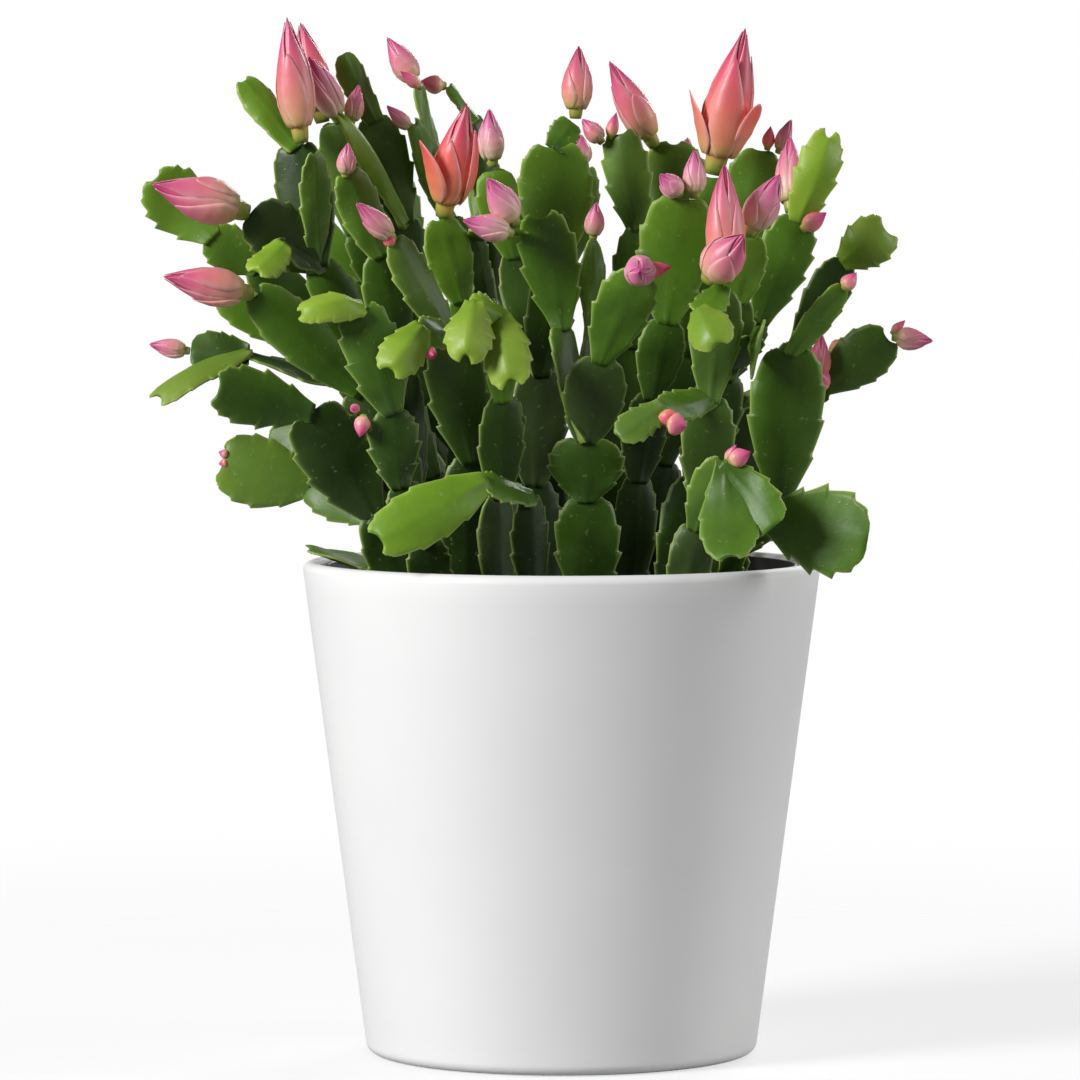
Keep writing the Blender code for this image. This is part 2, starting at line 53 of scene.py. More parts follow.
# Stem segments
COLUMNS = 13                       # points across a segment, its margins included
EVEN_ROWS = 15
TIP_ROWS = 8
TIP_START = 0.60                   # from here a segment rounds off towards its tip
ROW_CLOSEST = 0.006
WIDEST = 0.62                      # where a segment has reached its full width
BLADE_THICKNESS = 2.1 * MM
EDGE_THICKNESS = 0.6 * MM
NECK_THICKNESS = 3.0 * MM
NECK_HALF_WIDTH = 2.6 * MM
ROOT_HALF_WIDTH = 3.6 * MM
RIB_HEIGHT = 0.8 * MM
RIB_WIDTH = 0.12                   # share of the half width
TEETH = (0.30, 0.54, 0.77, 0.93)   # where the teeth stand along a margin
BELLY = (0.72, 1.15)               # below 1, a segment fills out early; above 1, it tapers to its base
TOOTH_BACK = 0.016                 # how far the notch behind a tooth runs
TOOTH_HOOK = 1.7                   # above 1, a margin is fullest just before its tooth
TOOTH_DEPTH = 0.14                 # share of the half width
HORN = (0.0, 0.055)                # how far the corners of a tip stand forward, share of the length
INNER_TIP = (0.34, 0.46)           # the tip's width where another segment grows from it
LAST_TIP = (0.20, 0.46)            # the tip's width on a last segment
OVERLAP = 0.9 * MM                 # how far a segment starts inside the one that it grows from
AREOLE_SIZE = 0.35 * MM
# height above the rim at which the painted light that lifts high segments is full
PAINTED_LIGHT_HEIGHT = 120 * MM
NEARLY_PARALLEL = 0.2

# Buds
BUD_ROWS = 26
CORE_SIDES = 20
TEPAL_ROWS = 19
TEPAL_COLUMNS = 9
TEPAL_START = 0.13
TEPALS_FROM = 9 * MM               # a shorter bud shows no tepals yet
BUD_PROFILE = ((0.0, 0.42), (0.06, 0.52), (0.11, 0.52), (0.18, 0.74), (0.31, 0.97), (0.44, 1.00), (0.60, 0.86),
               (0.76, 0.56), (0.90, 0.24), (1.0, 0.02))

# Studio
FLOOR_SOLID = 0.16
FLOOR_RADIUS = 0.75
FLOOR_COVER = 0.35                 # how much of the white surround the floor hides

# Rough grains: four spokes round, one up, one down
SPOKES = ((1, 0, 0), (0, 1, 0), (-1, 0, 0), (0, -1, 0), (0, 0, 1), (0, 0, -1))


def blade(x, y, z, wide, turn=0, curl=0):
    """One stem segment: the point it grows to (mm, z above the pot's rim), its width, its turn, its curl."""
    return {"tip": Vector((x, y, z)) * MM, "wide": wide * MM, "turn": math.radians(turn), "curl": curl * MM}


def arm(start, *blades):
    """A run of segments, from a point in mm, z above the pot's rim."""
    return {"start": Vector(start) * MM, "blades": blades}


ROOT_Z = -12.7
CUTTINGS = {
    "cutting_front_centre": (
        arm((8, -20, ROOT_Z), blade(7, -24, 19, 19), blade(7, -28, 36, 22), blade(11, -33, 59, 18, 5),
            blade(22, -42, 84, 17, 12, 2)),
        arm((7, -28, 36), blade(0, -22, 68, 12, 50), blade(-6, -30, 100, 17, -8, 2)),
        arm((7, -28, 36), blade(9, -14, 65, 10, 60), blade(9, -14, 93, 9, 40)),
    ),
    "cutting_centre": (
        arm((-4, 6, ROOT_Z), blade(-8, 8, 22, 16, 20), blade(-6, 5, 54, 18, 10), blade(-1, -2, 86, 15, 20),
            blade(-2, -6, 120, 22, 4, 2), blade(3, -4, 127, 9)),
        arm((-6, 5, 54), blade(-14, 12, 88, 13, 20), blade(-20, 10, 113, 14, 10)),
    ),
    "cutting_coral": (
        arm((-17, -6, ROOT_Z), blade(-18, -8, 20, 15, 30), blade(-17, -10, 48, 14, 10),
            blade(-29, -16, 76, 14, 15), blade(-35, -21, 99, 14, 20)),
        arm((-17, -10, 48), blade(-22, -4, 76, 10, 50), blade(-25, -14, 94, 9, 40),
            blade(-13, -36, 96, 12, 70)),
    ),
    "cutting_young_droop": (
        arm((-17, -30, ROOT_Z), blade(-18, -33, 20, 14, 40), blade(-17, -37, 48, 14, 20),
            blade(-17, -41, 72, 10, 10)),
        arm((-17, -41, 71), blade(-15, -58, 55, 14, 10, 3)),
        arm((-17, -41, 71), blade(-25, -49, 75, 11, 30)),
        arm((-25, -49, 75), blade(-27, -61, 62, 14, 5, 2)),
    ),
    "cutting_left_dewy": (
        arm((-28, -20, ROOT_Z), blade(-26, -26, 30, 16, 20), blade(-32, -34, 66, 18, 15),
            blade(-47, -43, 93, 13, 35)),
        arm((-32, -34, 66), blade(-40, -48, 68, 10, 30), blade(-48, -60, 58, 13, 10, 2)),
    ),
    "cutting_rim_leaf": (
        arm((-7, -38, ROOT_Z), blade(-9, -42, 20, 13, 35), blade(-22, -52, 25, 11, 60),
            blade(-51, -68, 10, 17, 10, 2)),
    ),
    "cutting_left_pale": (
        arm((-37, -40, ROOT_Z), blade(-38, -45, 8, 13, 10), blade(-46, -48, 24, 13, 20),
            blade(-48, -50, 45, 15, 15), blade(-57, -50, 74, 17, 10), blade(-73, -58, 74, 10, 40, 3)),
    ),
    "cutting_left_low": (
        arm((-44, -16, ROOT_Z), blade(-54, -20, 14, 14, 15), blade(-72, -26, 44, 22, 5, 1),
            blade(-98, -34, 51, 17, 0, 2)),
        arm((-54, -20, 14), blade(-73, -8, 22, 13, 10), blade(-98, -10, 29, 21, -5, 1)),
    ),
    "cutting_left_rim": (
        arm((-30, -2, ROOT_Z), blade(-46, -4, -3, 9, 60), blade(-73, -10, 4, 12, 82)),
    ),
    "cutting_left_long": (
        arm((-38, 8, ROOT_Z), blade(-46, 5, 20, 15, 20), blade(-58, 2, 50, 16, 10),
            blade(-91, -8, 60, 13, 75), blade(-107, -8, 61, 13, 20)),
        arm((-91, -8, 60), blade(-116, -24, 50, 13, 70, 2)),
        arm((-58, 2, 50), blade(-76, 6, 64, 11, 20), blade(-98, 4, 76, 12, 10)),
    ),
    "cutting_left_grey": (
        arm((-36, -10, ROOT_Z), blade(-43, -14, 18, 15, 10), blade(-58, -20, 50, 18, 10),
            blade(-87, -32, 78, 16, 15)),
        arm((-43, -14, 18), blade(-46, -12, 56, 14, 30), blade(-52, -17, 89, 14, 20),
            blade(-61, -23, 112, 13, 20)),
    ),
    "cutting_left_upper": (
        arm((-28, 4, ROOT_Z), blade(-38, 4, 24, 15, 20), blade(-55, 0, 56, 17, 10), blade(-70, -6, 86, 14, 10),
            blade(-89, -16, 101, 18, 10)),
        arm((-70, -6, 86), blade(-77, -4, 120, 17, -5), blade(-92, 0, 139, 10, 30)),
        arm((-70, -6, 86), blade(-80, -24, 91, 10, 60), blade(-87, -32, 85, 11, 30)),
        arm((-70, -6, 86), blade(-71, -14, 118, 10, 30)),
    ),
    "cutting_left_round": (
        arm((-24, 20, ROOT_Z), blade(-42, 22, 30, 16, 20), blade(-64, 18, 62, 18, 15),
            blade(-89, 10, 85, 15, 10), blade(-102, 6, 94, 14, 0), blade(-118, 4, 111, 19, 0, 2)),
    ),
    "cutting_left_crown": (
        arm((-16, 13, ROOT_Z), blade(-29, 18, 32, 16, 20), blade(-43, 18, 66, 18, 10),
            blade(-60, 18, 95, 13, 10), blade(-66, 12, 127, 14, -10)),
        arm((-43, 18, 66), blade(-46, 24, 98, 15, 20), blade(-55, 24, 128, 15, 10), blade(-64, 22, 147, 9, 20)),
        arm((-46, 24, 98), blade(-62, 4, 129, 10, 60, 1)),
    ),
    "cutting_twin_twigs": (
        arm((-8, 24, ROOT_Z), blade(-13, 28, 30, 15, 20), blade(-20, 32, 64, 17, 20),
            blade(-33, 30, 98, 14, 10), blade(-37, 27, 119, 8, 60), blade(-42, 25, 138, 7, 60)),
        arm((-20, 32, 64), blade(-20, 38, 98, 12, 20), blade(-26, 36, 128, 11, 30), blade(-33, 35, 138, 6, 60)),
        arm((-33, 30, 98), blade(-43, 20, 127, 9, 40)),
    ),
    "cutting_centre_right": (
        arm((10, 10, ROOT_Z), blade(14, 14, 28, 15, 20), blade(20, 18, 62, 18, 10), blade(22, 12, 96, 14, 20),
            blade(17, 12, 124, 14, -10)),
        arm((20, 18, 62), blade(33, 24, 98, 15, 20), blade(33, 24, 121, 19, 0, 2)),
    ),
    "cutting_right_round": (
        arm((19, -10, ROOT_Z), blade(22, -12, 24, 14, 20), blade(26, -14, 48, 14, 20), blade(30, -17, 70, 14, 10),
            blade(35, -20, 105, 22, 5, 2)),
    ),
    "cutting_big_bud": (
        arm((24, 10, ROOT_Z), blade(30, 10, 28, 15, 20), blade(38, 8, 60, 17, 20), blade(43, 4, 88, 13, 10),
            blade(44, 2, 111, 13, 10)),
        arm((38, 8, 60), blade(54, 16, 94, 14, 15), blade(58, 16, 119, 17, 0)),
    ),
    "cutting_front_right": (
        arm((38, -30, ROOT_Z), blade(41, -34, 14, 11, 10), blade(42, -36, 48, 16, 10),
            blade(45, -40, 79, 15, 10)),
        arm((45, -40, 79), blade(39, -50, 73, 10, 30), blade(43, -62, 65, 13, 5, 2)),
        arm((42, -36, 48), blade(28, -50, 46, 10, 20), blade(16, -56, 38, 10, 20)),
    ),
    "cutting_right_glossy": (
        arm((31, -14, ROOT_Z), blade(38, -14, 24, 15, 20), blade(47, -16, 54, 17, 10), blade(50, -22, 76, 13, 10),
            blade(53, -26, 94, 14, 10)),
        arm((47, -16, 54), blade(57, -12, 70, 11, 20), blade(68, -13, 99, 16, 12), blade(77, -15, 123, 13, 10, 3)),
        arm((47, -16, 54), blade(55, -24, 65, 11, 40), blade(54, -46, 61, 16, 75)),
    ),
    "cutting_right_far": (
        arm((36, 6, ROOT_Z), blade(47, 7, 20, 15, 20), blade(59, 6, 42, 17, 10), blade(69, 8, 62, 12, 10),
            blade(82, 4, 87, 13, 10), blade(94, 0, 96, 15, 0, 3)),
        arm((59, 6, 42), blade(76, -4, 51, 11, 10), blade(94, -10, 65, 16, 0)),
    ),
    "cutting_right_low": (
        arm((42, -10, ROOT_Z), blade(50, -14, 4, 14, 20), blade(63, -20, 20, 14, 10),
            blade(66, -24, 61, 22, 5, 2), blade(80, -30, 80, 9, 30)),
    ),
    "cutting_right_rim": (
        arm((46, -23, ROOT_Z), blade(50, -35, 8, 8, 20), blade(58, -46, 15, 14, 20), blade(86, -56, 9, 25, 0, 1)),
    ),
    "cutting_right_droop": (
        arm((34, -42, ROOT_Z), blade(38, -46, 12, 13, 10), blade(46, -54, 31, 14, 10)),
        arm((46, -54, 30), blade(47, -69, 5, 17, 5, 3)),
        arm((46, -54, 30), blade(59, -63, 13, 15, 10, 1)),
    ),
    "cutting_back_left": (
        arm((-22, 30, ROOT_Z), blade(-32, 36, 26, 15, 30), blade(-42, 42, 56, 17, 60),
            blade(-60, 50, 80, 16, 40), blade(-78, 56, 98, 16, 20)),
        arm((-42, 42, 56), blade(-46, 58, 84, 15, 10), blade(-50, 66, 112, 16, 30)),
    ),
    "cutting_back_low_left": (
        arm((-36, 22, ROOT_Z), blade(-46, 32, 12, 15, 30), blade(-58, 44, 34, 17, 30),
            blade(-72, 54, 38, 15, 20), blade(-86, 60, 30, 16, 30, 2)),
        arm((-58, 44, 34), blade(-56, 64, 52, 14, 10), blade(-58, 80, 68, 16, 30)),
    ),
    "cutting_back_centre": (
        arm((-4, 38, ROOT_Z), blade(-6, 42, 26, 16, 10), blade(-8, 50, 58, 18, 20), blade(-16, 60, 86, 16, 10),
            blade(-22, 66, 113, 16, -10)),
        arm((-8, 50, 58), blade(2, 62, 86, 15, 20), blade(6, 66, 114, 14, 0)),
        arm((-8, 50, 58), blade(-4, 74, 74, 14, 20), blade(-2, 88, 88, 15, 30, 2)),
    ),
    "cutting_back_right": (
        arm((22, 30, ROOT_Z), blade(28, 36, 26, 15, 20), blade(38, 42, 56, 17, 60), blade(50, 50, 82, 15, 30),
            blade(60, 54, 106, 16, 0)),
        arm((38, 42, 56), blade(34, 56, 84, 15, 0), blade(36, 62, 112, 17, 20)),
    ),
    "cutting_back_low_right": (
        arm((36, 22, ROOT_Z), blade(46, 30, 10, 15, 20), blade(56, 40, 30, 17, 30), blade(68, 48, 44, 14, 20),
            blade(80, 54, 58, 16, 0)),
        arm((56, 40, 30), blade(54, 60, 44, 14, 20), blade(62, 80, 46, 16, 40, 2)),
    ),
    "cutting_back_rim": (
        arm((6, 44, ROOT_Z), blade(6, 56, 8, 15, 20), blade(4, 72, 22, 17, 20), blade(0, 90, 10, 18, 10, 2)),
        arm((6, 56, 8), blade(-16, 66, 22, 11, 20), blade(-32, 78, 36, 16, 10)),
    ),
}


def bud(base, tip, wide):
    """A flower bud: where its base and its tip lie (mm, z above the pot's rim) and its greatest width."""
    return {"base": Vector(base) * MM, "tip": Vector(tip) * MM, "wide": wide * MM}


BUDS = {
    "bud_left_crown_outer": bud((-75, -7.5, 121), (-79, -10, 157), 10),
    "bud_left_crown_red": bud((-69.5, 13.5, 127), (-76, 14, 156), 10),
    "bud_left_crown_lilac": bud((-64.5, 9.5, 127.3), (-73, -3, 146), 8),
    "bud_left_crown_small": bud((-61.4, 12.5, 126.2), (-59, 15, 138), 5),
    "bud_left_side_upper": bud((-90, -17, 101), (-117, -26, 109), 12),
    "bud_left_side_lower": bud((-88, -33, 78), (-113, -40, 83), 10),
    "bud_left_low": bud((-107.2, -8, 61), (-119, -9, 63), 5),
    "bud_left_inner": bud((-47.5, -43.6, 93.3), (-58, -50, 104), 6),
    "bud_twig_upper": bud((-42.3, 25, 138), (-51, 24, 152), 7),
    "bud_twig_lower": bud((-41, 22.5, 137.2), (-47, 18, 142), 4),
    "bud_twig_right": bud((-34, 35, 138), (-42, 33, 139), 6),
    "bud_big_coral": bud((-34, -22.5, 99.8), (-27, -30, 132), 11),
    "bud_centre_lilac": bud((-20, 10, 114), (-21, 9, 131), 7),
    "bud_pair_upper": bud((-13, -37.5, 97.6), (-21, -44, 111), 8),
    "bud_pair_lower": bud((-14, -40, 95), (-28, -46, 99), 7),
    "bud_centre_tall": bud((4, -4, 128), (5, -3, 149), 8),
    "bud_centre_small": bud((9, -14, 93.2), (10, -16, 104), 5),
    "bud_centre_right": bud((27.4, 23.8, 120.2), (14, 18, 145), 9),
    "bud_front_round": bud((22, -43, 84), (22, -53, 85), 8),
    "bud_right_tallest": bud((44, 2, 112), (53, -4, 154), 13),
    "bud_right_lilac": bud((38, -20, 105), (38, -21, 119), 6),
    "bud_right_pale": bud((34, -21, 106), (28, -26, 112), 6),
    "bud_front_pair_upper": bud((46.5, -38.5, 81), (46, -38, 115), 10),
    "bud_front_pair_lower": bud((41, -43, 82), (51, -54, 95), 11),
    "bud_right_magenta": bud((53, -27, 95), (62, -31, 112), 9),
    "bud_right_dark": bud((66, -9.5, 101), (66, -1, 123), 8),
    "bud_right_far": bud((95.2, -10.3, 65.3), (107, -12, 64), 6),
}

# How young a segment is, where it isn't as its place tells: {(arm, segment): 0 old and dark, 1 yellow-green}
YOUTH = {
    "cutting_front_centre": {(0, 0): 0.26, (0, 1): 0.28, (0, 2): 0.30, (0, 3): 0.46, (1, 1): 0.38},
    "cutting_centre": {(0, 3): 0.48, (0, 4): 0.42},
    "cutting_coral": {(0, 3): 0.55, (1, 2): 0.50},
    "cutting_young_droop": {(1, 0): 0.84, (2, 0): 0.74, (3, 0): 0.88},
    "cutting_left_dewy": {(1, 0): 0.58, (1, 1): 0.80},
    "cutting_rim_leaf": {(0, 1): 0.40, (0, 2): 0.66},
    "cutting_left_pale": {(0, 3): 0.34, (0, 4): 0.82},
    "cutting_left_low": {(0, 1): 0.12, (0, 2): 0.30, (1, 0): 0.45, (1, 1): 0.66},
    "cutting_left_long": {(0, 2): 0.20, (0, 3): 0.24, (1, 0): 0.80},
    "cutting_left_grey": {(0, 2): 0.42},
    "cutting_left_upper": {(0, 3): 0.13, (1, 0): 0.13, (1, 1): 0.58, (2, 1): 0.80, (3, 0): 0.50},
    "cutting_left_round": {(0, 3): 0.50, (0, 4): 0.60},
    "cutting_left_crown": {(0, 4): 0.24, (2, 0): 0.76},
    "cutting_front_right": {(1, 0): 0.52, (1, 1): 0.80, (2, 0): 0.46, (2, 1): 0.60},
    "cutting_right_glossy": {(1, 1): 0.42, (1, 2): 0.82},
    "cutting_right_far": {(0, 2): 0.15, (0, 3): 0.17, (0, 4): 0.78},
    "cutting_right_low": {(0, 2): 0.36},
    "cutting_right_rim": {(0, 2): 0.40},
    "cutting_right_droop": {(1, 0): 0.44, (2, 0): 0.44},
}

# How red each kind of bud is: 0 lilac pink, 1 coral
BUD_WARMTH = {
    "bud_left_crown_outer": 0.6, "bud_left_crown_red": 0.75, "bud_left_crown_lilac": 0.05,
    "bud_left_side_upper": 0.45, "bud_left_side_lower": 0.55, "bud_big_coral": 1.0, "bud_right_tallest": 0.85,
    "bud_front_pair_upper": 0.6, "bud_front_pair_lower": 0.4, "bud_centre_right": 0.55, "bud_centre_tall": 0.6,
    "bud_centre_lilac": 0.0, "bud_pair_upper": 0.0, "bud_pair_lower": 0.0, "bud_right_lilac": 0.0,
    "bud_right_pale": 0.0, "bud_right_magenta": 0.1, "bud_right_dark": 0.15, "bud_front_round": 0.0,
}

# Tepals that stand off an opening bud: degrees round it (0 left, -90 front), reach, flare
LOOSE_TEPALS = {
    "bud_big_coral": ((-25, 0.64, 0.55), (200, 0.80, 0.06)),
    "bud_right_tallest": ((-5, 0.52, 0.32), (215, 0.54, 0.22), (-80, 0.80, 0.05)),
}

# Small young buds that have no solid of their own: base, tip, width
SMALL_BUDS = (
    bud((-58, -50, 46), (-59, -54, 46), 3), bud((-56, -51, 44), (-57, -55, 38), 5),
    bud((-96, -10, 31), (-99, -10, 32), 3), bud((-96, -10, 29), (-99, -10, 28.5), 3),
    bud((-38, -48, 62), (-36, -54, 61), 4), bud((74, -5, 52), (75, -10, 66), 6),
    bud((74, -5, 51), (74, -13, 55), 8), bud((80, -30, 79), (84, -30, 84), 5),
    bud((47, -54, 31), (53, -57, 34), 6), bud((46, -54, 31), (49, -56, 36), 3),
    bud((29, -50, 45), (31, -54, 41), 6), bud((30, -53, 42), (35, -56, 41), 7),
    bud((60, 15, 119), (61, 14, 126), 4), bud((63, 15, 118), (67, 14, 128), 4),
    bud((-44, 20, 125), (-51, 16, 132), 4), bud((-62, -24, 111), (-61, -26, 121), 5),
    bud((69, -14, 96), (76, -16, 101), 6), bud((95, -10, 66), (99, -11, 70), 3),
    bud((23, -43, 84), (31, -44, 86), 5), bud((12, 11, 121), (6, 10, 128), 5),
    bud((14, 12, 122), (16, 12, 130), 4), bud((-48, -43, 92), (-50, -46, 95), 4),
    bud((-49, 66, 112), (-50, 68, 124), 6), bud((36, 63, 111), (38, 66, 123), 7),
    bud((-1, 88, 88), (2, 92, 100), 7), bud((-77, 57, 98), (-84, 60, 106), 6),
    bud((60, 55, 106), (66, 56, 114), 6), bud((80, 55, 58), (88, 57, 62), 6),
    bud((6, 67, 114), (6, 68, 124), 6), bud((-32, 79, 36), (-38, 82, 42), 5),
)


# ---------------------------------------------------------------- mesh helpers

def add_piece(name, points, faces, attributes, material, replaced=()):
    """A smooth object with point attributes, riding on the one body."""
    mesh = bpy.data.meshes.new(name)
    mesh.from_pydata([tuple(point) for point in points], [], faces)
    mesh.validate()
    mesh.polygons.foreach_set("use_smooth", [True] * len(mesh.polygons))
    for key, values in attributes.items():
        layer = mesh.attributes.new(key, "FLOAT", "POINT")
        layer.data.foreach_set("value", np.asarray(values, dtype=np.float32))
    mesh.update()
    piece = bpy.data.objects.new(name, mesh)
    mesh.materials.append(material)
    bpy.context.scene.collection.objects.link(piece)
    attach(piece, ROOT)
    if replaced:
        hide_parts(*replaced)
    return piece


class Batch:
    """Points, faces and attributes of several closed shells that become one object."""

    def __init__(self, keys):
        self.points = []
        self.faces = []
        self.values = {key: [] for key in keys}

    def add(self, points, faces, values):
        """Add one shell; an attribute that it leaves out is 0 on it."""
        offset = len(self.points)
        self.points.extend(points)
        self.faces.extend(tuple(index + offset for index in face) for face in faces)
        for key, items in self.values.items():
            items.extend(values.get(key, [0.0] * len(points)))


def sheet_faces(rows, columns):
    """Faces of a thin closed sheet: its outer points, then its inner ones, row by row, and its border."""
    count = rows * columns
    faces = []
    for row in range(rows - 1):
        for column in range(columns - 1):
            near = row * columns + column
            far = near + columns
            faces.append((near, near + 1, far + 1, far))
            faces.append((near + count, far + count, far + 1 + count, near + 1 + count))
    first_row = list(range(columns))
    last_column = [row * columns + columns - 1 for row in range(1, rows)]
    last_row = [(rows - 1) * columns + column for column in range(columns - 2, -1, -1)]
    first_column = [row * columns for row in range(rows - 2, 0, -1)]
    border = first_row + last_column + last_row + first_column
    for here, after in zip(border, border[1:] + border[:1]):
        faces.append((after, here, here + count, after + count))
    return faces


def frame_for(direction, turn):
    """The side and face directions of a segment that runs along direction."""
    side = direction.cross(Vector((0.0, 1.0, 0.0)))
    if side.length < NEARLY_PARALLEL:
        side = Vector((-1.0, 0.0, 0.0))
    side = Matrix.Rotation(turn, 3, direction) @ side.normalized()
    side = (side - direction * side.dot(direction)).normalized()
    return side, side.cross(direction)


def name_seed(name):
    """A seed that is always the same for a name."""
    return sum(ord(letter) * (place + 1) for place, letter in enumerate(name))


# ---------------------------------------------------------------- stem segments

def saw(share, teeth):
    """The margin between two teeth: -0.5 just past one, rising to 0.5 on the next."""
    before = 0.0
    for tooth in (*teeth, 1.0):
        if share <= tooth:
            return ((share - before) / (tooth - before)) ** TOOTH_HOOK - 0.5
        before = tooth
    return 0.5


class Segment:
    """One flat, toothed, ribbed stem segment, as a thin closed sheet."""

    def __init__(self, begin, end, side, item, young, rooted, last, rng):
        self.begin = begin
        self.length = (end - begin).length
        self.direction = (end - begin).normalized()
        self.side = side
        self.face = side.cross(self.direction)
        self.half = item["wide"] / 2
        self.young = young
        self.start = 0.0 if rooted else -OVERLAP
        self.neck = min(0.8, (ROOT_HALF_WIDTH if rooted else NECK_HALF_WIDTH) / self.half)
        self.tip = rng.uniform(*(LAST_TIP if last else INNER_TIP))
        self.belly = rng.uniform(*BELLY)
        self.depth = TOOTH_DEPTH * rng.uniform(0.5, 1.3)
        self.horn = (rng.uniform(*HORN) + 0.15 * max(0.0, young - 0.6)) * self.length
        self.teeth = [[tooth + rng.uniform(-0.04, 0.04) for tooth in TEETH] for _ in range(2)]
        hood = max(0.0, young - 0.6)
        self.fold = 2.0 - 2.4 * hood
        self.cup = (rng.uniform(-0.06, 0.16) + hood * 1.7) * self.half
        self.bow = (item["curl"] or rng.uniform(-0.5, 0.9) * MM) * (1 - 2 * (hood > 0))
        self.droop = hood * 0.25 * self.length
        self.wave = rng.uniform(0.2, 0.6) * MM
        self.phase = rng.uniform(0, math.tau)
        self.twist = rng.uniform(-0.16, 0.16)

    def rows(self):
        """Places along the segment: even ones, both margins' teeth, and close ones at the rounded tip."""
        places = list(np.linspace(0.0, TIP_START, EVEN_ROWS))
        for teeth in self.teeth:
            places += [place for tooth in teeth for place in (tooth, tooth + TOOTH_BACK)]
        quarter = np.linspace(0.0, math.pi / 2, TIP_ROWS)
        places += [TIP_START + (1 - TIP_START) * math.sin(angle) for angle in quarter[1:]]
        rows = []
        for place in sorted(places):
            if not rows or place - rows[-1] > ROW_CLOSEST:
                rows.append(place)
        rows[-1] = 1.0
        return rows

    def half_width(self, share):
        """Half width at a share of the length, without the teeth."""
        swell = math.sin(min(1.0, share / WIDEST) * math.pi / 2) ** self.belly
        width = self.neck + (1 - self.neck) * swell
        if share > TIP_START:
            past = (share - TIP_START) / (1 - TIP_START)
            width *= self.tip + (1 - self.tip) * math.sqrt(max(0.0, 1 - past ** 2.2))
        return self.half * width

    def reach(self, share, across):
        """How far to the side a point lies; only the outermost strip follows the teeth."""
        tooth = self.depth * saw(share, self.teeth[int(across > 0)]) * min(1.0, share / 0.15)
        return self.half_width(share) * across * (1 + tooth * abs(across) ** 6)

    def half_thickness(self, share, across):
        """Half the thickness at a share of the length and of the half width."""
        thick = EDGE_THICKNESS + (BLADE_THICKNESS - EDGE_THICKNESS) * (1 - abs(across) ** 2.2)
        thick += (NECK_THICKNESS - thick) * max(0.0, 1 - share / 0.14) * 0.8
        thick += RIB_HEIGHT * math.exp(-(across / RIB_WIDTH) ** 2) * (1 - share * 0.7)
        return thick / 2 * (0.45 + 0.55 * math.sqrt(max(0.0, 1 - share ** 14)))

    def point(self, share, across, layer):
        """A point of the sheet; layer is 1 on its front, -1 on its back."""
        width = self.reach(share, across)
        spin = self.twist * (share - 0.2)
        tip_part = max(0.0, (share - 0.84) / 0.16)
        place = self.start + (self.length - self.start) * share + self.horn * tip_part ** 2 * (abs(across) ** 3 - 0.3)
        lift = self.bow * 4 * share * (1 - share) + self.cup * abs(across) ** self.fold * math.sin(share * 2.6)
        lift += self.droop * share ** 3
        lift += self.wave * math.sin(self.phase + share * 9 + across * 2) * abs(across)
        lift += layer * self.half_thickness(share, across)
        offset = self.side * (width * math.cos(spin)) + self.face * (width * math.sin(spin) + lift)
        return self.begin + self.direction * place + offset

    def add_to(self, batch, tone):
        """Add the sheet, then a bristly areole in each notch of its margins."""
        rows = self.rows()
        columns = np.linspace(-1, 1, COLUMNS)
        points = [self.point(share, across, layer) for layer in (1, -1) for share in rows for across in columns]
        values = {
            "edge": [across ** 2 for _ in (1, -1) for _ in rows for across in columns],
            "along": [share for _ in (1, -1) for share in rows for _ in columns],
            # youth, with the painted shade of low, inner segments and the painted light of high ones folded in
            "young": [self.young] * len(points),
            "tone": [tone] * len(points),
        }
        batch.add(points, sheet_faces(len(rows), COLUMNS), values)
        for margin, teeth in enumerate(self.teeth):
            for tooth in teeth:
                centre = self.point(tooth + TOOTH_BACK, 2 * margin - 1, 0)
                spokes, faces = grain(centre, [AREOLE_SIZE] * len(SPOKES))
                batch.add(spokes, faces, {"areole": [1.0] * len(spokes)})


def youth_with_painted_shade(index, count, height):
    """Old, dark segments near the mix, their darkness partly older growth and partly painted shade of the plant's
    crowded low interior; younger, lighter ones towards the tips, the higher ones lifted by painted light.
    """
    rank = (index + 1) / count
    # rank: older growth plus painted shade low in the plant; height: painted light on high segments
    return 0.06 + 0.34 * rank ** 2 + 0.10 * min(1.0, max(0.0, height / PAINTED_LIGHT_HEIGHT))


def build_cutting(name, arms, material):
    """One cutting: a sheet for each of its segments, joined in one object."""
    rng = np.random.default_rng(name_seed(name))
    batch = Batch(("edge", "along", "young", "tone", "areole"))
    listed = YOUTH.get(name, {})
    for arm_index, stretch in enumerate(arms):
        begin = stretch["start"] + LIFT
        count = len(stretch["blades"])
        previous = None
        for index, item in enumerate(stretch["blades"]):
            end = item["tip"] + LIFT
            side, _ = frame_for((end - begin).normalized(), item["turn"])
            if previous is not None and side.dot(previous) < 0:
                side = -side
            previous = side
            # the segment's tone, which also shapes young segments, carries painted shade and painted light from its
            # place in the plant
            young = youth_with_painted_shade(index, count, item["tip"].z) + rng.uniform(-0.05, 0.10)
            young = listed.get((arm_index, index), young)
            rooted = arm_index == 0 and index == 0
            segment = Segment(begin, end, side, item, young, rooted, index == count - 1, rng)
            segment.add_to(batch, rng.uniform(0, 1))
            begin = end
    return add_piece(f"{name}_leaf", batch.points, batch.faces, batch.values, material, (name,))


# ---------------------------------------------------------------- buds

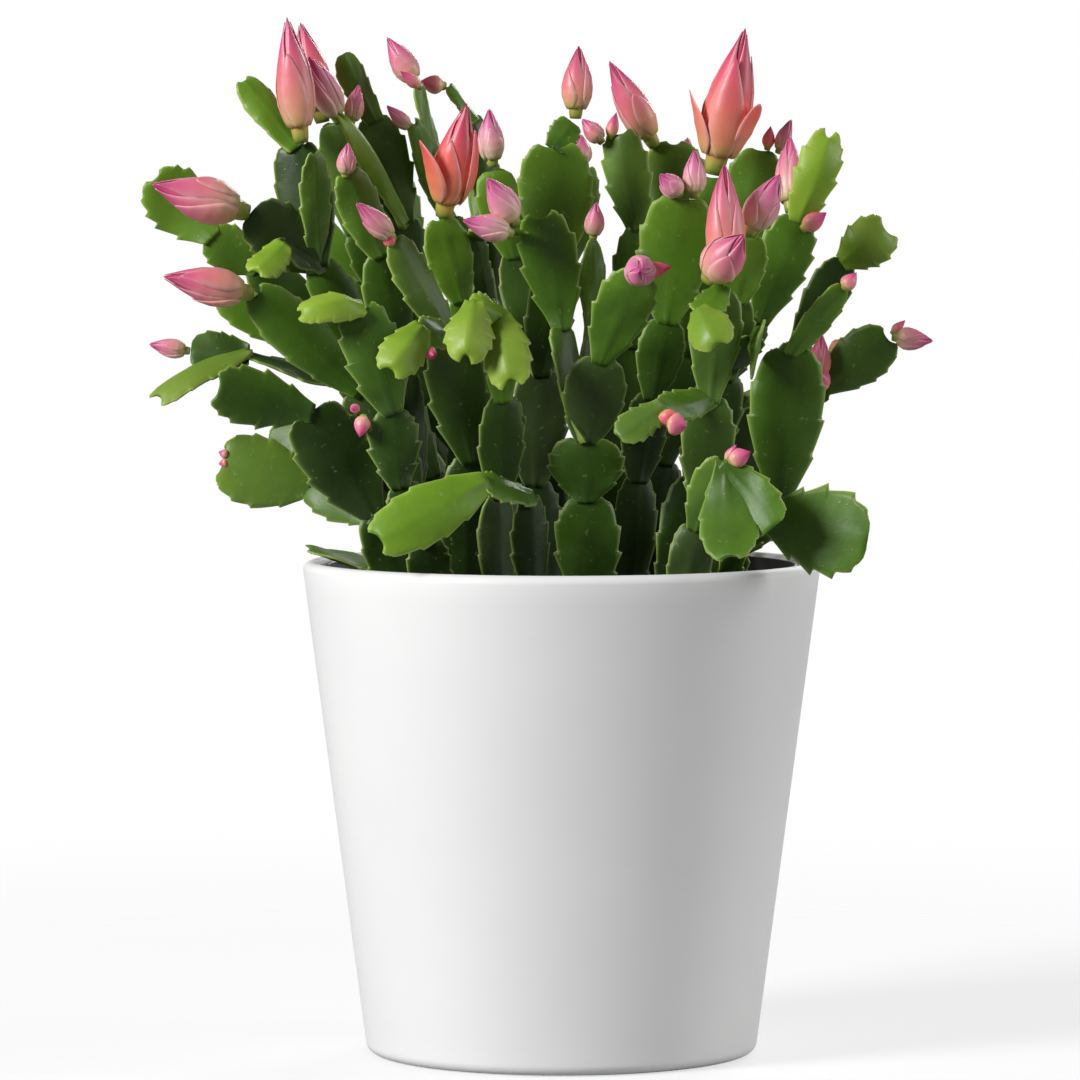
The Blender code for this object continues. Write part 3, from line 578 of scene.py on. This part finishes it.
class Bud:
    """A bud: a core on a bent axis, wrapped in overlapping pointed tepals."""

    def __init__(self, spec, warm, rng):
        line = spec["tip"] - spec["base"]
        self.base = spec["base"] + LIFT
        self.line = line
        self.side, self.face = frame_for(line.normalized(), 0.0)
        self.half = spec["wide"] / 2
        self.warm = warm
        self.bend = rng.uniform(-0.03, 0.03) * line.length
        self.swirl = rng.uniform(0.25, 0.6)

    def radius(self, share):
        """The closed bud's radius at a share of its length."""
        shares, radii = zip(*BUD_PROFILE)
        return self.half * float(np.interp(share, shares, radii))

    def point(self, share, angle, radius):
        """A point round the axis: angle 0 is left, a quarter turn back is the front."""
        axis = self.base + self.line * share + self.face * (self.bend * 4 * share * (1 - share))
        return axis + self.side * (radius * math.cos(angle)) + self.face * (radius * math.sin(angle))

    def add_core(self, batch):
        """The inner body, with its green foot."""
        points, along = [], []
        for row in range(BUD_ROWS + 1):
            share = row / BUD_ROWS
            for step in range(CORE_SIDES):
                angle = math.tau * step / CORE_SIDES
                ridge = 0.93 + 0.03 * math.sin(angle * 5 + share * 4)
                points.append(self.point(share, angle, self.radius(share) * ridge))
                along.append(share)
        faces = [tuple(range(CORE_SIDES))]
        for low in range(0, BUD_ROWS * CORE_SIDES, CORE_SIDES):
            high = low + CORE_SIDES
            for step in range(CORE_SIDES):
                after = (step + 1) % CORE_SIDES
                faces.append((low + step, high + step, high + after, low + after))
        faces.append(tuple(range(len(points) - 1, len(points) - CORE_SIDES - 1, -1)))
        batch.add(points, faces, {"along": along, "warm": [self.warm] * len(points)})

    def add_tepal(self, batch, centre, spread, reach, outward, flare):
        """One tepal as a thin closed sheet; outward is its layer, flare how far its tip stands off."""
        thickness = 0.03 * self.half + 0.12 * MM
        across = np.linspace(-1, 1, TEPAL_COLUMNS)
        points, along, rim = [], [], []
        for outer in (1, 0):
            for row in range(TEPAL_ROWS):
                grown = row / (TEPAL_ROWS - 1)
                share = TEPAL_START + (reach - TEPAL_START) * grown
                width = spread * math.sin(min(1.0, grown * 2.2 + 0.35) * math.pi / 2)
                width *= 0.04 + 0.96 * (1 - grown ** 2.4) ** 0.75
                for u in across:
                    radius = self.radius(share) * (1.0 + 0.06 * outward) + 0.02 * self.half
                    radius += flare * grown ** 2.4 * self.half * 2.2
                    radius += outer * thickness * (1 - 0.6 * u ** 4) + self.half * 0.02 * (u + 1) / 2
                    angle = centre - u * width + self.swirl * grown
                    points.append(self.point(share, angle, radius))
                    along.append(share)
                    rim.append(abs(u) ** 3)
        warm = [self.warm] * len(points)
        batch.add(points, sheet_faces(TEPAL_ROWS, TEPAL_COLUMNS), {"along": along, "rim": rim, "warm": warm})

    def add_to(self, batch, rng, loose=()):
        """The core, four tepals to the tip, three shorter ones round them, and any loose ones."""
        self.add_core(batch)
        if self.line.length < TEPALS_FROM:
            return
        turn = rng.uniform(0, math.tau)
        for index in range(4):
            self.add_tepal(batch, turn + index * math.tau / 4, 1.10, rng.uniform(0.95, 0.99), 0, 0.0)
        for index in range(3):
            centre = turn + 0.5 + index * math.tau / 3
            self.add_tepal(batch, centre, 0.85, rng.uniform(0.60, 0.86), 1, 0.015)
        for degrees, reach, flare in loose:
            self.add_tepal(batch, math.radians(degrees) - self.swirl, 0.75, reach, 3, flare)


def build_bud(name, spec, material):
    """One named bud."""
    rng = np.random.default_rng(name_seed(name))
    batch = Batch(("along", "rim", "warm"))
    Bud(spec, BUD_WARMTH.get(name, 0.3), rng).add_to(batch, rng, LOOSE_TEPALS.get(name, ()))
    return add_piece(f"{name}_petals", batch.points, batch.faces, batch.values, material, (name,))


def build_small_buds(material):
    """All the small young buds, as one object."""
    rng = np.random.default_rng(11)
    batch = Batch(("along", "rim", "warm"))
    for spec in SMALL_BUDS:
        Bud(spec, rng.uniform(0.2, 0.8), rng).add_to(batch, rng)
    return add_piece("young_buds", batch.points, batch.faces, batch.values, material)


# ---------------------------------------------------------------- pots and mix

def turned(name, profile, steps, material, node, ripple=None):
    """A closed turned solid through (radius, height) points; the ends lie on the axis."""
    points = [Vector((0.0, 0.0, profile[0][1]))]
    for radius, height in profile[1:-1]:
        for step in range(steps):
            angle = math.tau * step / steps
            extra = ripple(radius, height, angle) if ripple else 0.0
            points.append(Vector((radius * math.cos(angle), radius * math.sin(angle), height + extra)))
    points.append(Vector((0.0, 0.0, profile[-1][1])))
    faces = []
    levels = len(profile) - 2
    for step in range(steps):
        after = (step + 1) % steps
        faces.append((0, 1 + after, 1 + step))
        for level in range(levels - 1):
            low, high = 1 + level * steps, 1 + (level + 1) * steps
            faces.append((low + step, low + after, high + after, high + step))
        base = 1 + (levels - 1) * steps
        faces.append((base + step, base + after, len(points) - 1))
    return add_piece(name, points, faces, {}, material, (node,))


def arc(centre, radius, start, stop, count):
    """Points (radius, height) along an arc, angles in degrees."""
    angles = [math.radians(start + (stop - start) * step / count) for step in range(count + 1)]
    return [(centre[0] + radius * math.cos(angle), centre[1] + radius * math.sin(angle)) for angle in angles]


def run(start, stop, count):
    """Points between two points, without the last."""
    return [(start[0] + (stop[0] - start[0]) * step / count, start[1] + (stop[1] - start[1]) * step / count)
            for step in range(count)]


POT_BASE_RADIUS = 57.0 * MM
POT_CORNER = 3.4 * MM
POT_WALL = 5.0 * MM
POT_FLOOR = 6.0 * MM


def build_cover_pot(material):
    """The matt white tapered pot with its softly rounded lip."""
    lip = POT_WALL / 2
    outline = [(0.0, 0.0)]
    outline += run((0.012, 0.0), (POT_BASE_RADIUS - POT_CORNER, 0.0), 3)
    outline += arc((POT_BASE_RADIUS - POT_CORNER, POT_CORNER), POT_CORNER, -90, 0, 8)
    outline += run(outline[-1], (POT_RIM_RADIUS, POT_HEIGHT - lip), 24)[1:]
    outline += arc((POT_RIM_RADIUS - lip, POT_HEIGHT - lip), lip, 0, 180, 14)
    floor_radius = POT_BASE_RADIUS + (POT_RIM_RADIUS - POT_BASE_RADIUS) * 0.019 - POT_WALL
    outline += run(outline[-1], (floor_radius, POT_FLOOR), 20)[1:]
    outline += [(floor_radius, POT_FLOOR), (0.012, POT_FLOOR), (0.0, POT_FLOOR)]
    return turned("cover_pot_shell", outline, 192, material, "cover_pot")


def build_nursery_pot(material):
    """The black grower's pot, with its stepped rim band."""
    low, high = (Vector(corner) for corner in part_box("nursery_pot"))
    wall = 1.2 * MM
    band = high.z - 9 * MM
    base = 49 * MM
    top = 65.6 * MM

    def outer(height):
        return base + (top - base) * (height - low.z) / (high.z - low.z)

    outline = [(0.0, low.z), (0.02, low.z), (base - 1 * MM, low.z), (base, low.z + 1 * MM)]
    outline += run((outer(low.z + 0.01), low.z + 0.01), (outer(band), band - wall / 2), 8)
    outline += [(outer(band), band - wall / 2), (high.x, band), (high.x, high.z - 0.4 * MM)]
    outline += [(high.x - 0.4 * MM, high.z), (high.x - wall + 0.2 * MM, high.z), (high.x - wall, high.z - 0.4 * MM)]
    outline += [(high.x - wall, band + wall), (outer(band) - wall, band)]
    outline += [(outer(low.z + wall) - wall, low.z + wall), (0.02, low.z + wall), (0.0, low.z + wall)]
    return turned("nursery_pot_shell", outline, 160, material, "nursery_pot")


def lump(x, y):
    """Height of the potting mix's crumbs at a place."""
    value = 0.0
    for index, (size, height) in enumerate(((9, 0.9), (17, 0.6), (31, 0.45), (59, 0.3))):
        value += height * math.sin(x * size * 11 + index * 1.7) * math.sin(y * size * 12.3 + index * 2.9)
    return value * MM


def build_mix(material, speck):
    """The potting mix: a lumpy top with crumbs and a few white perlite grains."""
    low, high = (Vector(corner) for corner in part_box("potting_mix"))
    edge = high.x
    outline = [(0.0, high.z - 0.5 * MM)]
    outline += [(edge * step / 46, high.z - 0.6 * MM - 1.3 * MM * (step / 46) ** 4) for step in range(1, 47)]
    outline += [(edge - 0.2 * MM, high.z - 5 * MM), (edge * 0.78, low.z), (0.0, low.z)]
    outline = outline[::-1]

    def ripple(radius, height, angle):
        if height < high.z - 3 * MM or radius > edge * 0.985:
            return 0.0
        return lump(radius * math.cos(angle), radius * math.sin(angle))

    turned("potting_mix_bed", outline, 160, material, "potting_mix", ripple)
    rng = np.random.default_rng(5)
    for name, count, size, look in (("mix_crumbs", 420, 1.7, material), ("perlite", 60, 1.1, speck)):
        batch = Batch(())
        for _ in range(count):
            radius = edge * 0.96 * math.sqrt(rng.uniform(0, 1))
            angle = rng.uniform(0, math.tau)
            centre = Vector((radius * math.cos(angle), radius * math.sin(angle), high.z - 0.3 * MM))
            points, faces = grain(centre, size * MM * rng.uniform(0.45, 1.0) * rng.uniform(0.5, 1.0, len(SPOKES)))
            batch.add(points, faces, {})
        add_piece(name, batch.points, batch.faces, {}, look)


def grain(centre, lengths):
    """A rough little eight-sided grain, from the lengths of its spokes."""
    points = [centre + Vector(spoke) * length for spoke, length in zip(SPOKES, lengths)]
    faces = []
    for step in range(4):
        after = (step + 1) % 4
        faces.append((step, after, 4))
        faces.append((after, step, 5))
    return points, faces


# ---------------------------------------------------------------- materials

class Nodes:
    """A short way to add and link shader nodes."""

    def __init__(self, name):
        self.material = bpy.data.materials.new(name)
        self.material.use_nodes = True
        self.tree = self.material.node_tree
        self.shader = self.tree.nodes["Principled BSDF"]

    def add(self, kind, **settings):
        """A node with its own settings."""
        node = self.tree.nodes.new(kind)
        for key, value in settings.items():
            setattr(node, key, value)
        return node

    def link(self, source, target):
        """A link between two sockets."""
        self.tree.links.new(source, target)

    def attribute(self, name):
        """A point attribute's value."""
        return self.add("ShaderNodeAttribute", attribute_name=name).outputs["Fac"]

    def noise(self, scale, detail=3.0, rough=0.55):
        """Noise over the object's own coordinates."""
        coordinates = self.add("ShaderNodeTexCoord")
        noise = self.add("ShaderNodeTexNoise")
        noise.inputs["Scale"].default_value = scale
        noise.inputs["Detail"].default_value = detail
        noise.inputs["Roughness"].default_value = rough
        self.link(coordinates.outputs["Object"], noise.inputs["Vector"])
        return noise.outputs["Fac"]

    def ramp(self, source, stops):
        """A colour ramp over a value."""
        ramp = self.add("ShaderNodeValToRGB")
        elements = ramp.color_ramp.elements
        while len(elements) < len(stops):
            elements.new(0.5)
        for element, (place, colour) in zip(elements, stops):
            element.position = place
            element.color = (*colour, 1.0)
        self.link(source, ramp.inputs["Fac"])
        return ramp.outputs["Color"]

    def mix(self, share, first, second, blend="MIX"):
        """Two colours mixed."""
        mix = self.add("ShaderNodeMix", data_type="RGBA", blend_type=blend)
        for socket, value in ((mix.inputs[0], share), (mix.inputs[6], first), (mix.inputs[7], second)):
            if isinstance(value, (int, float)):
                socket.default_value = value
            elif isinstance(value, tuple):
                socket.default_value = (*value, 1.0)
            else:
                self.link(value, socket)
        return mix.outputs[2]

    def math(self, operation, first, second, clamp=False):
        """Arithmetic on two values."""
        node = self.add("ShaderNodeMath", operation=operation, use_clamp=clamp)
        for socket, value in zip(node.inputs, (first, second)):
            if isinstance(value, (int, float)):
                socket.default_value = value
            else:
                self.link(value, socket)
        return node.outputs[0]

    def bump(self, height, strength, distance):
        """A bump from a height."""
        bump = self.add("ShaderNodeBump")
        bump.inputs["Strength"].default_value = strength
        bump.inputs["Distance"].default_value = distance
        self.link(height, bump.inputs["Height"])
        self.link(bump.outputs["Normal"], self.shader.inputs["Normal"])


def stem_material():
    """Waxy green: dark when old and, as painted shade, when low in the plant; yellow-green when young and, as painted
    light, when high; paler at the margins, partly as a painted highlight; with fine pores.
    """
    nodes = Nodes("cactus_stem_look")
    mottle = nodes.noise(85.0)
    patches = nodes.math("MULTIPLY", nodes.math("SUBTRACT", mottle, 0.5), 0.26)
    greyness = nodes.math("MULTIPLY", nodes.math("SUBTRACT", nodes.attribute("tone"), 0.55), 0.9, True)
    outward = nodes.math("MULTIPLY", nodes.attribute("edge"), 0.10)
    forward = nodes.math("MULTIPLY", nodes.math("SUBTRACT", nodes.attribute("along"), 0.6), 0.10)
    # the young attribute holds both age and painted shade of low, inner segments; the darkest ramp stops serve both
    youth_and_shade = nodes.math("ADD", nodes.math("ADD", nodes.attribute("young"), outward), patches)
    youth_and_shade = nodes.math("ADD", youth_and_shade, forward, True)
    green = nodes.ramp(youth_and_shade, ((0.0, (0.008, 0.020, 0.003)), (0.25, (0.026, 0.066, 0.005)),
                             (0.50, (0.080, 0.185, 0.010)), (0.75, (0.175, 0.330, 0.018)),
                             (1.0, (0.340, 0.480, 0.045))))
    green = nodes.mix(greyness, green, (0.085, 0.125, 0.045))
    # Pale margins: partly the thin margin's own paler colour, partly a painted highlight along the edges.
    rim = nodes.math("MULTIPLY", nodes.math("POWER", nodes.attribute("edge"), 12.0, True), 0.90)
    colour = nodes.mix(rim, green, nodes.mix(0.7, green, (0.46, 0.60, 0.15)))
    specks = nodes.ramp(nodes.noise(620.0, 1.0), ((0.0, (0, 0, 0)), (0.70, (0, 0, 0)), (0.76, (1, 1, 1))))
    colour = nodes.mix(nodes.math("MULTIPLY", specks, 0.16), colour, (0.45, 0.58, 0.22))
    colour = nodes.mix(nodes.attribute("areole"), colour, (0.42, 0.34, 0.18))
    nodes.link(colour, nodes.shader.inputs["Base Color"])
    nodes.link(nodes.math("ADD", nodes.math("MULTIPLY", mottle, 0.22), 0.32), nodes.shader.inputs["Roughness"])
    nodes.shader.inputs["Specular IOR Level"].default_value = 0.35
    nodes.shader.inputs["Subsurface Weight"].default_value = 0.10
    nodes.shader.inputs["Subsurface Radius"].default_value = (0.4, 0.8, 0.15)
    nodes.shader.inputs["Subsurface Scale"].default_value = 0.002
    nodes.bump(nodes.math("ADD", nodes.noise(240.0), nodes.math("MULTIPLY", specks, 0.4)), 0.22, 0.0006)
    return nodes.material


def bud_material():
    """Silky petals: green foot, cream to salmon, pink, then magenta tips, with fine lengthwise veins."""
    nodes = Nodes("cactus_bud_look")
    blotch = nodes.noise(140.0)
    shift = nodes.math("MULTIPLY", nodes.math("SUBTRACT", blotch, 0.5), 0.16)
    place = nodes.math("ADD", nodes.attribute("along"), shift, True)
    lilac = nodes.ramp(place, ((0.0, (0.16, 0.26, 0.03)), (0.11, (0.42, 0.45, 0.10)), (0.22, (0.86, 0.58, 0.40)),
                               (0.46, (0.85, 0.34, 0.40)), (0.75, (0.76, 0.16, 0.36)), (1.0, (0.48, 0.03, 0.22))))
    coral = nodes.ramp(place, ((0.0, (0.16, 0.25, 0.03)), (0.11, (0.52, 0.38, 0.08)), (0.22, (0.86, 0.26, 0.12)),
                               (0.46, (0.84, 0.14, 0.10)), (0.75, (0.73, 0.07, 0.13)), (1.0, (0.38, 0.015, 0.08))))
    colour = nodes.mix(nodes.attribute("warm"), lilac, coral)
    colour = nodes.mix(nodes.math("MULTIPLY", nodes.attribute("rim"), 0.40), colour, (0.98, 0.62, 0.58))
    nodes.link(colour, nodes.shader.inputs["Base Color"])
    nodes.link(nodes.math("ADD", nodes.math("MULTIPLY", blotch, 0.2), 0.30), nodes.shader.inputs["Roughness"])
    nodes.shader.inputs["Subsurface Weight"].default_value = 0.25
    nodes.shader.inputs["Subsurface Radius"].default_value = (1.0, 0.35, 0.3)
    nodes.shader.inputs["Subsurface Scale"].default_value = 0.002
    nodes.bump(nodes.noise(380.0), 0.15, 0.0004)
    return nodes.material


def ceramic_material():
    """Matt white glaze with a faint orange-peel surface."""
    nodes = Nodes("white_ceramic_look")
    tone = nodes.ramp(nodes.noise(14.0), ((0.3, (0.80, 0.80, 0.80)), (0.7, (0.84, 0.84, 0.835))))
    nodes.link(tone, nodes.shader.inputs["Base Color"])
    nodes.link(nodes.math("ADD", nodes.math("MULTIPLY", nodes.noise(60.0), 0.12), 0.50),
               nodes.shader.inputs["Roughness"])
    nodes.bump(nodes.noise(420.0, 4.0), 0.10, 0.0003)
    return nodes.material


def plastic_material():
    """Black moulded plastic, slightly dusty."""
    nodes = Nodes("black_plastic_look")
    tone = nodes.ramp(nodes.noise(70.0), ((0.3, (0.008, 0.009, 0.008)), (0.75, (0.022, 0.021, 0.018))))
    nodes.link(tone, nodes.shader.inputs["Base Color"])
    nodes.link(nodes.math("ADD", nodes.math("MULTIPLY", nodes.noise(120.0), 0.25), 0.35),
               nodes.shader.inputs["Roughness"])
    nodes.bump(nodes.noise(300.0), 0.08, 0.0003)
    return nodes.material


def mix_material():
    """Damp peat and bark."""
    nodes = Nodes("potting_mix_look")
    tone = nodes.ramp(nodes.noise(260.0, 5.0), ((0.3, (0.010, 0.006, 0.004)), (0.55, (0.035, 0.022, 0.013)),
                                                (0.75, (0.085, 0.055, 0.032))))
    nodes.link(tone, nodes.shader.inputs["Base Color"])
    nodes.link(nodes.math("ADD", nodes.math("MULTIPLY", nodes.noise(200.0), 0.15), 0.80),
               nodes.shader.inputs["Roughness"])
    nodes.bump(nodes.noise(500.0, 5.0), 0.8, 0.001)
    return nodes.material


def perlite_material():
    """Chalky white grains."""
    nodes = Nodes("perlite_look")
    tone = nodes.ramp(nodes.noise(500.0), ((0.3, (0.45, 0.43, 0.40)), (0.7, (0.75, 0.74, 0.70))))
    nodes.link(tone, nodes.shader.inputs["Base Color"])
    nodes.link(nodes.math("ADD", nodes.math("MULTIPLY", nodes.noise(300.0), 0.1), 0.85),
               nodes.shader.inputs["Roughness"])
    nodes.bump(nodes.noise(900.0), 0.5, 0.0005)
    return nodes.material


def floor_material():
    """A plain pale studio floor that fades into the white surround at its edge."""
    nodes = Nodes("studio_floor")
    nodes.shader.inputs["Base Color"].default_value = (0.90, 0.90, 0.90, 1.0)
    nodes.shader.inputs["Roughness"].default_value = 0.9
    place = nodes.add("ShaderNodeTexCoord").outputs["Object"]
    distance = nodes.add("ShaderNodeVectorMath", operation="LENGTH")
    nodes.link(place, distance.inputs[0])
    fade = nodes.add("ShaderNodeMapRange", interpolation_type="SMOOTHERSTEP")
    fade.inputs["From Min"].default_value = FLOOR_SOLID
    fade.inputs["From Max"].default_value = FLOOR_RADIUS
    fade.inputs["To Min"].default_value = FLOOR_COVER
    fade.inputs["To Max"].default_value = 0.0
    nodes.link(distance.outputs["Value"], fade.inputs["Value"])
    nodes.link(fade.outputs["Result"], nodes.shader.inputs["Alpha"])
    return nodes.material


# ---------------------------------------------------------------- studio

def build_floor():
    """A wide pale floor under the pot."""
    bpy.ops.mesh.primitive_circle_add(vertices=96, radius=FLOOR_RADIUS, fill_type="NGON",
                                      location=(0.0, 0.0, -0.0002))
    floor = bpy.context.object
    floor.name = "studio_floor"
    floor.data.materials.append(floor_material())


def add_area(name, place, target, size, power):
    """A soft area light that faces a point."""
    light = bpy.data.lights.new(name, "AREA")
    light.shape = "DISK"
    light.size = size
    light.energy = power
    lamp = bpy.data.objects.new(name, light)
    lamp.location = place
    lamp.rotation_euler = (Vector(target) - Vector(place)).to_track_quat("-Z", "Y").to_euler()
    bpy.context.scene.collection.objects.link(lamp)


def build_light():
    """A bright key from the front left, a bounce from the right, and a white surround."""
    target = (0.0, 0.0, 0.18)
    add_area("key", (-1.45, -1.05, 1.00), target, 0.7, 43.0)
    add_area("bounce", (1.6, -0.10, 0.60), target, 1.0, 13.0)
    add_area("back", (0.7, 1.7, 1.0), target, 0.9, 16.0)
    world = bpy.data.worlds.new("white_surround")
    bpy.context.scene.world = world
    world.use_nodes = True
    tree = world.node_tree
    background = tree.nodes["Background"]
    place = tree.nodes.new("ShaderNodeTexCoord")
    split = tree.nodes.new("ShaderNodeSeparateXYZ")
    tree.links.new(place.outputs["Generated"], split.inputs["Vector"])
    sky = tree.nodes.new("ShaderNodeMapRange")
    sky.inputs["From Min"].default_value = -0.3
    sky.inputs["From Max"].default_value = 0.3
    sky.inputs["To Min"].default_value = 0.08
    sky.inputs["To Max"].default_value = 0.20
    tree.links.new(split.outputs["Z"], sky.inputs["Value"])
    path = tree.nodes.new("ShaderNodeLightPath")
    seen = tree.nodes.new("ShaderNodeMix")
    seen.data_type = "FLOAT"
    tree.links.new(path.outputs["Is Camera Ray"], seen.inputs[0])
    tree.links.new(sky.outputs["Result"], seen.inputs[2])
    seen.inputs[3].default_value = 1.0
    tree.links.new(seen.outputs[0], background.inputs["Strength"])
    background.inputs["Color"].default_value = (1.0, 1.0, 1.0, 1.0)
    bpy.context.scene.view_settings.view_transform = "Standard"


def build_camera():
    """A long lens a little above the rim, looking slightly down."""
    camera = bpy.data.cameras.new("camera")
    camera.lens = 215.4
    camera.sensor_width = 36.0
    camera.clip_start = 0.05
    camera.clip_end = 50.0
    viewer = bpy.data.objects.new("camera", camera)
    viewer.location = (-0.00624, -1.873, POT_HEIGHT + 0.111)
    viewer.rotation_euler = (math.radians(90.0 - 3.21), 0.0, 0.0)
    bpy.context.scene.collection.objects.link(viewer)
    bpy.context.scene.camera = viewer


def build():
    """Build every piece, the light and the camera."""
    build_camera()
    build_floor()
    build_light()
    build_cover_pot(ceramic_material())
    build_nursery_pot(plastic_material())
    build_mix(mix_material(), perlite_material())
    green = stem_material()
    for name, arms in CUTTINGS.items():
        build_cutting(name, arms, green)
    pink = bud_material()
    for name, spec in BUDS.items():
        build_bud(name, spec, pink)
    build_small_buds(pink)


build()
